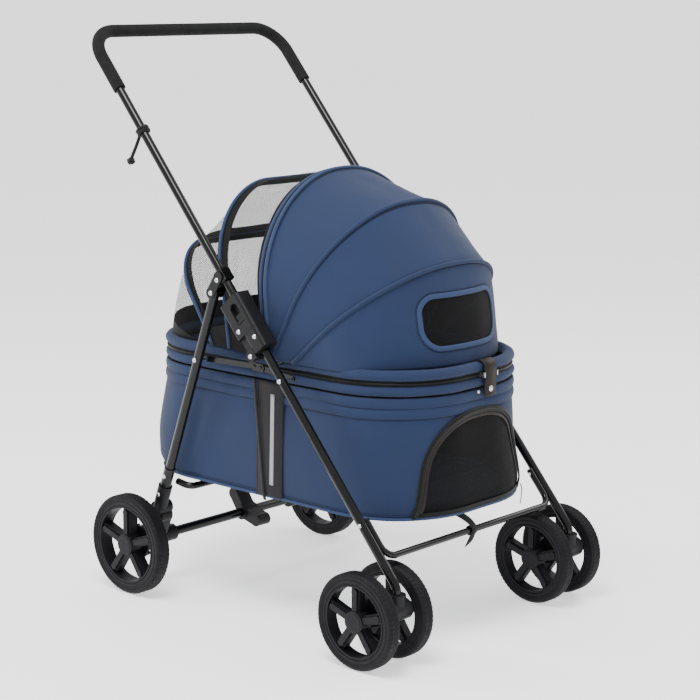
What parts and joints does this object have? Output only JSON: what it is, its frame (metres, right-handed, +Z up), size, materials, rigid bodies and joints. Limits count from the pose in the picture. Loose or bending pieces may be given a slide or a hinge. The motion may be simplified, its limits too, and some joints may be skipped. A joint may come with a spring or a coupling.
{
  "type": "pet stroller",
  "caption": "Folding pet stroller with a fabric carrier, hooped canopy and mesh hood, foam-grip handle, rear wheels and twin swivel casters.",
  "frame": {"origin": "on the floor, below the middle of the stroller's overall length and width", "axes": "+X forward towards the twin casters, +Y the stroller's left, +Z up"},
  "size_m": [0.755, 0.5634, 0.99],
  "materials": {
    "frame_paint": "gloss black powder coat",
    "black_plastic": "fine moulded grain",
    "tyre_foam": "matte moulded tread",
    "grip_foam": "matte closed-cell foam",
    "rivet_steel": "satin zinc",
    "navy_fabric": "coated woven polyester",
    "navy_binding": "woven binding over wire",
    "black_fabric": "woven webbing and open mesh",
    "floor_pad_cloth": "soft quilted cover",
    "floor_board_card": "stiff panel",
    "latch_leather": "embossed synthetic leather"
  },
  "bodies": {
    "frame": {"front_leg_left": "frame_paint", "front_leg_right": "frame_paint", "front_bar": "frame_paint", "lock_base_left": "black_plastic", "lock_base_right": "black_plastic", "front_rivets": "rivet_steel", "tray": "navy_fabric", "tray_rim": "navy_fabric", "floor_board": "floor_board_card", "floor_pad": "floor_pad_cloth", "mesh_door": "black_fabric", "carrier_straps": "black_fabric"},
    "handle": {"handle_tube": "frame_paint", "handle_grip": "grip_foam", "lock_shell_left": "black_plastic", "lock_shell_right": "black_plastic", "leg_bracket_left": "frame_paint", "leg_bracket_right": "frame_paint", "handle_rivets": "rivet_steel", "handle_tie": "black_fabric"},
    "slide_left": {"lock_slide_left": "black_plastic"},
    "slide_right": {"lock_slide_right": "black_plastic"},
    "rear_frame": {"rear_leg_left": "frame_paint", "rear_leg_right": "frame_paint", "rear_foot_left": "black_plastic", "rear_foot_right": "black_plastic", "rear_bar": "frame_paint", "rear_axle": "frame_paint", "rear_rivets": "rivet_steel"},
    "pedal": {"brake_pedal": "black_plastic"},
    "pin_left": {"brake_pin_left": "rivet_steel"},
    "pin_right": {"brake_pin_right": "rivet_steel"},
    "stay_left": {"side_stay_left": "frame_paint"},
    "stay_right": {"side_stay_right": "frame_paint"},
    "wheel_rear_left": {"rear_wheel_left": "black_plastic", "rear_tyre_left": "tyre_foam"},
    "wheel_rear_right": {"rear_wheel_right": "black_plastic", "rear_tyre_right": "tyre_foam"},
    "fork_left": {"caster_left": "black_plastic"},
    "fork_right": {"caster_right": "black_plastic"},
    "lid": {"lid_rim": "navy_fabric", "hood_wires": "navy_binding", "hood_mesh": "black_fabric", "canopy_pins": "rivet_steel"},
    "latch": {"front_latch": "latch_leather"},
    "hoop_front": {"front_hoop": "navy_binding", "front_panel": "navy_fabric"},
    "hoop_middle": {"middle_hoop": "navy_binding", "middle_panel": "navy_fabric"},
    "hoop_zip": {"zip_hoop": "black_fabric", "rear_panel": "navy_fabric"},
    "wheel_front_left_outer": {"front_wheel_left_outer": "black_plastic", "front_tyre_left_outer": "tyre_foam"},
    "wheel_front_left_inner": {"front_wheel_left_inner": "black_plastic", "front_tyre_left_inner": "tyre_foam"},
    "wheel_front_right_inner": {"front_wheel_right_inner": "black_plastic", "front_tyre_right_inner": "tyre_foam"},
    "wheel_front_right_outer": {"front_wheel_right_outer": "black_plastic", "front_tyre_right_outer": "tyre_foam"}
  },
  "joints": [
    {"name": "handle_fold", "type": "hinge", "parent": "frame", "child": "handle", "pos_m": [0.03941, 0, 0.46318], "axis": [0, 1, 0], "range_deg": [-112, 0]},
    {"name": "rear_leg_fold", "type": "hinge", "parent": "handle", "child": "rear_frame", "pos_m": [-0.05729, 0, 0.55696], "axis": [0, 1, 0], "range_deg": [0, 58.5]},
    {"name": "stay_fold_left", "type": "hinge", "parent": "frame", "child": "stay_left", "pos_m": [0.09569, 0.2035, 0.42816], "axis": [0, 1, 0], "range_deg": [-79.5, 0]},
    {"name": "lock_slide_left_move", "type": "slide", "parent": "handle", "child": "slide_left", "axis": [-0.6428, 0, 0.766], "range_m": [0, 0.008]},
    {"name": "rear_wheel_left_spin", "type": "hinge", "parent": "rear_frame", "child": "wheel_rear_left", "pos_m": [-0.26048, 0.2485, 0.089], "axis": [0, 1, 0], "continuous": true},
    {"name": "caster_left_swivel", "type": "hinge", "parent": "frame", "child": "fork_left", "pos_m": [0.34252, 0.228, 0.11], "axis": [0, 0, 1], "continuous": true},
    {"name": "brake_pin_left_move", "type": "slide", "parent": "rear_frame", "child": "pin_left", "axis": [0, 1, 0], "range_m": [0, 0.0071]},
    {"name": "stay_fold_right", "type": "hinge", "parent": "frame", "child": "stay_right", "pos_m": [0.09569, -0.2035, 0.42816], "axis": [0, 1, 0], "range_deg": [-79.5, 0]},
    {"name": "lock_slide_right_move", "type": "slide", "parent": "handle", "child": "slide_right", "axis": [-0.6428, 0, 0.766], "range_m": [0, 0.008]},
    {"name": "rear_wheel_right_spin", "type": "hinge", "parent": "rear_frame", "child": "wheel_rear_right", "pos_m": [-0.26048, -0.2485, 0.089], "axis": [0, 1, 0], "continuous": true},
    {"name": "caster_right_swivel", "type": "hinge", "parent": "frame", "child": "fork_right", "pos_m": [0.34252, -0.228, 0.11], "axis": [0, 0, 1], "continuous": true},
    {"name": "brake_pin_right_move", "type": "slide", "parent": "rear_frame", "child": "pin_right", "axis": [0, -1, 0], "range_m": [0, 0.0071]},
    {"name": "front_wheel_left_outer_spin", "type": "hinge", "parent": "fork_left", "child": "wheel_front_left_outer", "pos_m": [0.29852, 0.268, 0.079], "axis": [0, 1, 0], "continuous": true},
    {"name": "front_wheel_left_inner_spin", "type": "hinge", "parent": "fork_left", "child": "wheel_front_left_inner", "pos_m": [0.29852, 0.188, 0.079], "axis": [0, 1, 0], "continuous": true},
    {"name": "front_wheel_right_inner_spin", "type": "hinge", "parent": "fork_right", "child": "wheel_front_right_inner", "pos_m": [0.29852, -0.188, 0.079], "axis": [0, 1, 0], "continuous": true},
    {"name": "front_wheel_right_outer_spin", "type": "hinge", "parent": "fork_right", "child": "wheel_front_right_outer", "pos_m": [0.29852, -0.268, 0.079], "axis": [0, 1, 0], "continuous": true},
    {"name": "brake_pedal_press", "type": "hinge", "parent": "rear_frame", "child": "pedal", "pos_m": [-0.26048, 0, 0.089], "axis": [0, 1, 0], "range_deg": [0, 20]},
    {"name": "lid_open", "type": "hinge", "parent": "frame", "child": "lid", "pos_m": [-0.32048, 0, 0.4345], "axis": [0, -1, 0], "range_deg": [0, 35]},
    {"name": "canopy_fold", "type": "hinge", "parent": "lid", "child": "hoop_front", "pos_m": [0.05952, 0, 0.447], "axis": [0, 1, 0], "range_deg": [0, 29], "deforming": ["front_panel"]},
    {"name": "middle_hoop_fold", "type": "hinge", "parent": "hoop_front", "child": "hoop_middle", "pos_m": [0.05952, 0, 0.447], "axis": [0, 1, 0], "range_deg": [0, 21], "deforming": ["middle_panel"]},
    {"name": "zip_hoop_fold", "type": "hinge", "parent": "hoop_middle", "child": "hoop_zip", "pos_m": [0.05952, 0, 0.447], "axis": [0, 1, 0], "range_deg": [0, 29.5], "deforming": ["rear_panel"]},
    {"name": "latch_turn", "type": "hinge", "parent": "lid", "child": "latch", "pos_m": [0.32902, 0.018, 0.4355], "axis": [0, -1, 0], "range_deg": [0, 70]}
  ],
  "couplings": [
    {"joint": "rear_leg_fold", "follows": "handle_fold", "ratio": -0.516},
    {"joint": "stay_fold_left", "follows": "handle_fold", "ratio": 0.7},
    {"joint": "stay_fold_right", "follows": "handle_fold", "ratio": 0.7},
    {"joint": "brake_pin_left_move", "follows": "brake_pedal_press", "m_per_rad": 0.02},
    {"joint": "brake_pin_right_move", "follows": "brake_pedal_press", "m_per_rad": 0.02},
    {"joint": "middle_hoop_fold", "follows": "canopy_fold", "ratio": 0.69},
    {"joint": "zip_hoop_fold", "follows": "canopy_fold", "ratio": 1}
  ]
}
